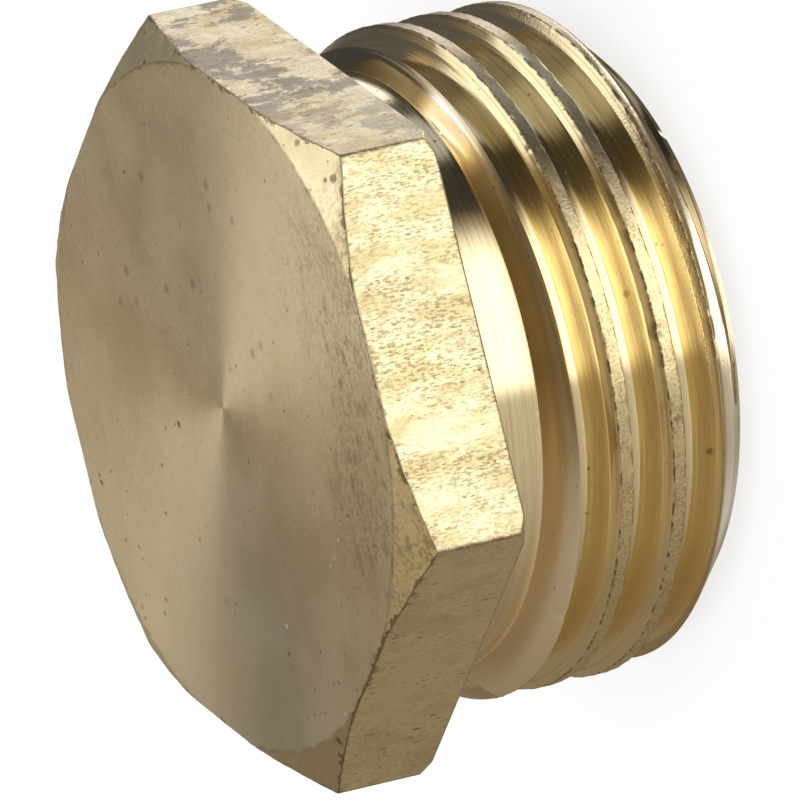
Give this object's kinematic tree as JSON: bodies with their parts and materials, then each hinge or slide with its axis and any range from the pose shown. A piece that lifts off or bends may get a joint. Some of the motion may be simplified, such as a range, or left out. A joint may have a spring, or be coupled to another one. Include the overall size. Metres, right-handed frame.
{
  "type": "pipe plug",
  "caption": "Solid pipe plug turned in one piece, with a low hexagon head, a plain undercut neck and a parallel male pipe thread with a bevelled end.",
  "frame": {"origin": "centre of the plain end face of the thread, which is the lowest plane of the plug", "axes": "+Z along the thread's axis from its end to the head, +X through two opposite corners of the hexagon, +Y square to two of its flats"},
  "size_m": [0.0242, 0.021, 0.0128],
  "materials": {
    "brass": "as turned and slightly dulled, with tool lines, pits and small burrs"
  },
  "bodies": {
    "root": {"pipe_plug": "brass"}
  },
  "joints": []
}
